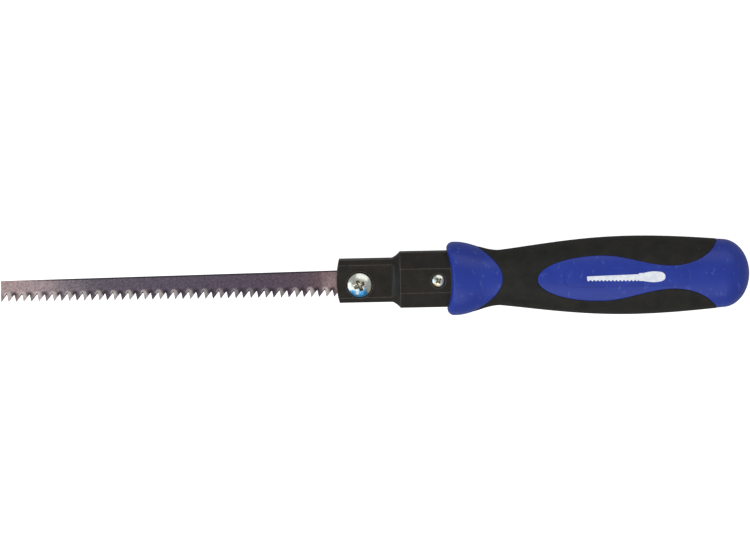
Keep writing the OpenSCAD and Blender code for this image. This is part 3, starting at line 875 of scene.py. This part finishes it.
filed, tree, shader = finish_named("Filed tooth steel", Metallic=1.0)
lay = use(tree, rolled_lines, Line_Width=0.12, Patch_Size=1.0,
          Low_Tone=(0.62, 0.60, 0.56, 1), High_Tone=(0.95, 0.93, 0.88, 1))
feed(tree, shader, Base_Color=lay["Color"], Roughness=reckon(tree, "MULTIPLY_ADD", lay["Patches"], -0.12, 0.36))
relief(tree, shader, lay["Height"], 0.015 * mm)

# A dark copy of the filed steel for the long flanks of every second gullet: painted shade.
shaded, tree, shader = finish_named("Flank of a tooth in painted shade", Metallic=1.0)
lay = use(tree, rolled_lines, Line_Width=0.12, Patch_Size=0.8,
          Low_Tone=(0.035, 0.03, 0.035, 1), High_Tone=(0.09, 0.075, 0.08, 1))
feed(tree, shader, Base_Color=lay["Color"], Roughness=reckon(tree, "MULTIPLY_ADD", lay["Patches"], 0.15, 0.42))
relief(tree, shader, lay["Height"], 0.01 * mm)


def gullet(k, lift):
    """The rounded gullet behind tooth k, its bottom lifted into the blade by the slant of the file."""
    x_tip, x_next = x_toe + k * tooth_pitch, x_toe + (k + 1) * tooth_pitch
    x_bottom = x_next - tooth_lean
    bottom = Vector((x_bottom, gullet_line(x_bottom) + lift))
    arms = [(Vector((x, tooth_line(x))) - bottom).normalized() * gullet_round for x in (x_tip, x_next)]
    near, far = (bottom + arm for arm in arms)
    return [tuple((1 - s) ** 2 * near + 2 * s * (1 - s) * bottom + s * s * far)
            for s in (0, 0.25, 0.5, 0.75, 1)]


edge = {1: [], -1: []}                         # outline of the teeth on the upper and the lower face
spine = []                                     # where the columns of faces stand, and how far each is set
for k in range(teeth):
    x_tip = x_toe + k * tooth_pitch
    upper, lower = (filed_lift, 0.0) if k % 2 == 0 else (0.0, filed_lift)
    level = gullet(k, 0.0)
    tip_ends = (-tip_width / 2, tip_width / 2) if k else (0, tip_width)
    point_of = [(x_tip + shift, tooth_line(x_tip)) for shift in tip_ends]
    bent = tooth_set * (1 if k % 2 else -1) * (k < set_teeth)
    spine += [(x, bent) for x, _ in point_of] + [(x, 0.0) for x, _ in level]
    edge[1] += point_of + gullet(k, upper)
    edge[-1] += point_of + gullet(k, lower)
for k in range(9):
    x = lerp(x_toe + teeth * tooth_pitch, x_tail, k / 8)
    spine.append((x, 0.0))
    for side in edge:
        edge[side].append((x, tooth_line(x)))

points, faces = [], []
levels = 6
for side in (1, -1):
    for (x, bent), (edge_x, edge_y) in zip(spine, edge[side]):
        root, back = gullet_line(x) + root_up, back_line(x)
        points += [(edge_x, edge_y, side * blade_half_t + bent), (x, root, side * blade_half_t)]
        points += [(x, lerp(root, back, s), side * blade_half_t) for s in (0.35, 0.7)]
        points += [(x, back - back_round, side * blade_half_t), (x, back, side * (blade_half_t - back_round))]
other = len(spine) * levels
per_tooth, wall_finish = 7, {}                # columns for each tooth and the gullet behind it
for k in range(len(spine) - 1):
    a = k * levels
    for s in range(levels - 1):
        faces += [(a + s, a + levels + s, a + levels + s + 1, a + s + 1),
                  (other + a + s, other + a + s + 1, other + a + levels + s + 1, other + a + levels + s)]
    tooth, step = divmod(k, per_tooth)
    # The long flanks of every second gullet take the dark copy of the filed steel, as painted shade.
    wall_finish[len(faces)] = 2 if tooth % 2 == 0 and step in (0, 1, 2, 3) else 1
    faces += [(a, a + levels, other + a + levels, other + a),
              (a + levels - 1, a + 2 * levels - 1, other + a + 2 * levels - 1, other + a + levels - 1)]
for a in (0, (len(spine) - 1) * levels):
    faces += [(a + s, a + s + 1, other + a + s + 1, other + a + s) for s in range(levels - 1)]
blank = skin(points, faces)
blank.faces.ensure_lookup_table()
for k, finish in wall_finish.items():
    blank.faces[k].material_index = finish
blade = loose("blade_saw", blank)
slot_turns = [math.pi / 2 + math.pi * k / 24 for k in range(25)]
slot_outline = [(x_clamp + slot_r * math.cos(a), y_clamp + slot_r * math.sin(a)) for a in slot_turns]
slot_outline += [(x_tail + 2, y_clamp - slot_r), (x_tail + 2, y_clamp + slot_r)]
carve(blade, [upright(slot_outline, -2, 2)])
steel_of = [polygon.material_index for polygon in blade.data.polygons]
settle(blade, [tempered, filed, shaded], "blade", "blade_steel", ["blade"], 30)
blade.data.polygons.foreach_set("material_index", steel_of)

# --------------------------------------------------
# The clamp: an M5 pan-head screw through the upper cheek, with a flat washer in a round seat
# above, and a square-cornered hexagon nut held in a pocket below. All are turned and zinc plated.
# --------------------------------------------------
nut_af, bore_r, washer_r = 8.0, 2.55, 5.0
hex_drop = 0.55                                # how steeply the nut's top and bottom fall to its corners
clamp_r, clamp_head_r, clamp_head_h, clamp_pitch = 2.5, 5.1, 3.4, 0.8


def turned(name, profile, x, y, body, node_name, count=72, six_sided=()):
    """Ring from its closed profile; the two places in six_sided run out to the flats of a hexagon."""
    rings = []
    for k, (r, z) in enumerate(profile):
        ring = []
        for a in turns(count):
            reach, drop = r, 0.0
            if k in six_sided:
                reach = nut_af / 2 / math.cos((a + math.pi / 6) % (math.pi / 3) - math.pi / 6)
                drop = (reach - nut_af / 2) * hex_drop * (1 if k == min(six_sided) else -1)
            ring.append((x + reach * math.cos(a), y + reach * math.sin(a), z + drop))
        rings.append(ring)
    made = skin(*loft(rings, wrap=True))
    return piece(name, made, [zinc_plate], body, "zinc_plate", [node_name], 24)


low, high = ((corner.z - bench_lift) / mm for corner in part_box("clamp_nut"))
turned("clamp_nut_cut",
       [(bore_r, low + 0.35), (bore_r + 0.35, low), (nut_af / 2 - 0.1, low), (0, low + 0.05),
        (0, high - 0.05), (nut_af / 2 - 0.1, high), (bore_r + 0.35, high), (bore_r, high - 0.35)],
       x_clamp, y_clamp, "handle", "clamp_nut", six_sided=(3, 4))
low, high = ((corner.z - bench_lift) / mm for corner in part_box("clamp_washer"))
turned("clamp_washer_pressed",
       [(bore_r, low + 0.1), (bore_r + 0.1, low), (washer_r - 0.2, low), (washer_r, low + 0.2),
        (washer_r, high - 0.3), (washer_r - 0.12, high - 0.08), (washer_r - 0.3, high),
        (bore_r + 0.12, high), (bore_r, high - 0.1)],
       x_clamp, y_clamp, "washer", "clamp_washer")
clamp_under = (clamp_high.z - bench_lift) / mm - clamp_head_h
screw("clamp_screw_cut", x_clamp, y_clamp, clamp_under, clamp_r, clamp_head_r, clamp_head_h,
      (clamp_high.z - clamp_low.z) / mm - clamp_head_h, clamp_pitch, (5.2, 2.4), 25, "screw", "clamp_screw")

# --------------------------------------------------
# The studio: a plain white table top that glows a little, as a backlit one does, under a bright
# tent. Two large soft boxes light it from front and back, and a small cool one from the toe end.
# --------------------------------------------------
white_top, tree, shader = finish_named("White table top", Roughness=0.9, Specular_IOR_Level=0.1)
paper = noise(tree, millimetres(tree)[0], 60.0, 2.0)
feed(tree, shader, Base_Color=tint(tree, paper, (0.42, 0.42, 0.42, 1), (0.46, 0.46, 0.46, 1)))
glow = node(tree, "ShaderNodeEmission", {"Color": (1, 1, 1, 1), "Strength": 0.95})
seen = node(tree, "ShaderNodeLightPath").outputs["Is Camera Ray"]
backlit = node(tree, "ShaderNodeAddShader", {0: shader.outputs[0], 1: glow.outputs[0]})
chosen = node(tree, "ShaderNodeMixShader", {0: seen, 1: shader.outputs[0], 2: backlit.outputs[0]})
tree.links.new(chosen.outputs[0], tree.nodes["Material Output"].inputs["Surface"])

table = bmesh.new()
bmesh.ops.create_grid(table, x_segments=8, y_segments=8, size=6.0)
bmesh.ops.translate(table, verts=table.verts, vec=(0, 0, -0.0002))
table_top = loose("table_top", table)
table_top.data.materials.append(white_top)

world = bpy.data.worlds.new("Bright tent")
world.use_nodes = True
tree = world.node_tree
tent = tree.nodes["Background"]
seen = node(tree, "ShaderNodeLightPath").outputs["Is Camera Ray"]
tree.links.new(reckon(tree, "MULTIPLY_ADD", seen, 0.52, 0.48), tent.inputs["Strength"])
tent.inputs["Color"].default_value = (1, 1, 1, 1)
bpy.context.scene.world = world


def soft_box(name, place, size, strength, colour=(1, 1, 1)):
    """A large soft light aimed at the middle of the saw."""
    lamp = bpy.data.lights.new(name, "AREA")
    lamp.shape, lamp.size, lamp.size_y, lamp.energy, lamp.color = "RECTANGLE", *size, strength, colour
    hung = bpy.data.objects.new(name, lamp)
    hung.location = place
    hung.rotation_euler = (-Vector(place)).to_track_quat("-Z", "Y").to_euler()
    bpy.context.scene.collection.objects.link(hung)


soft_box("key_box", (-0.3, -0.95, 1.2), (2.2, 1.4), 13)
soft_box("fill_box", (0.4, 1.1, 0.9), (2.0, 0.9), 6)
soft_box("cool_box", (-1.3, -0.2, 0.6), (0.9, 0.6), 6, (0.5, 0.75, 1.0))

# --------------------------------------------------
# The camera: a long lens high above the bench, on a stand that leans a little to the back of
# the blade and is turned a little, so that the saw lies almost level across the frame.
# --------------------------------------------------
view_width, view_lean, view_tilt = 0.3145, math.radians(4.3), math.radians(1.17)
camera_far = 4.0
looked_at = Vector((0.0, 0.0021, bench_lift))

lens = bpy.data.cameras.new("long_lens")
lens.sensor_width, lens.clip_start, lens.clip_end = 36.0, 0.1, 50.0
lens.lens = lens.sensor_width * camera_far / view_width
camera = bpy.data.objects.new("camera", lens)
bpy.context.scene.collection.objects.link(camera)
back = Vector((0, math.sin(view_lean), math.cos(view_lean)))
level_up = Vector((0, math.cos(view_lean), -math.sin(view_lean)))
right = Vector((1, 0, 0)) * math.cos(view_tilt) - level_up * math.sin(view_tilt)
upward = Vector((1, 0, 0)) * math.sin(view_tilt) + level_up * math.cos(view_tilt)
stance = Matrix((right, upward, back)).transposed().to_4x4()
stance.translation = looked_at + back * camera_far
camera.matrix_world = stance
bpy.context.scene.camera = camera
bpy.context.scene.view_settings.view_transform = "Standard"
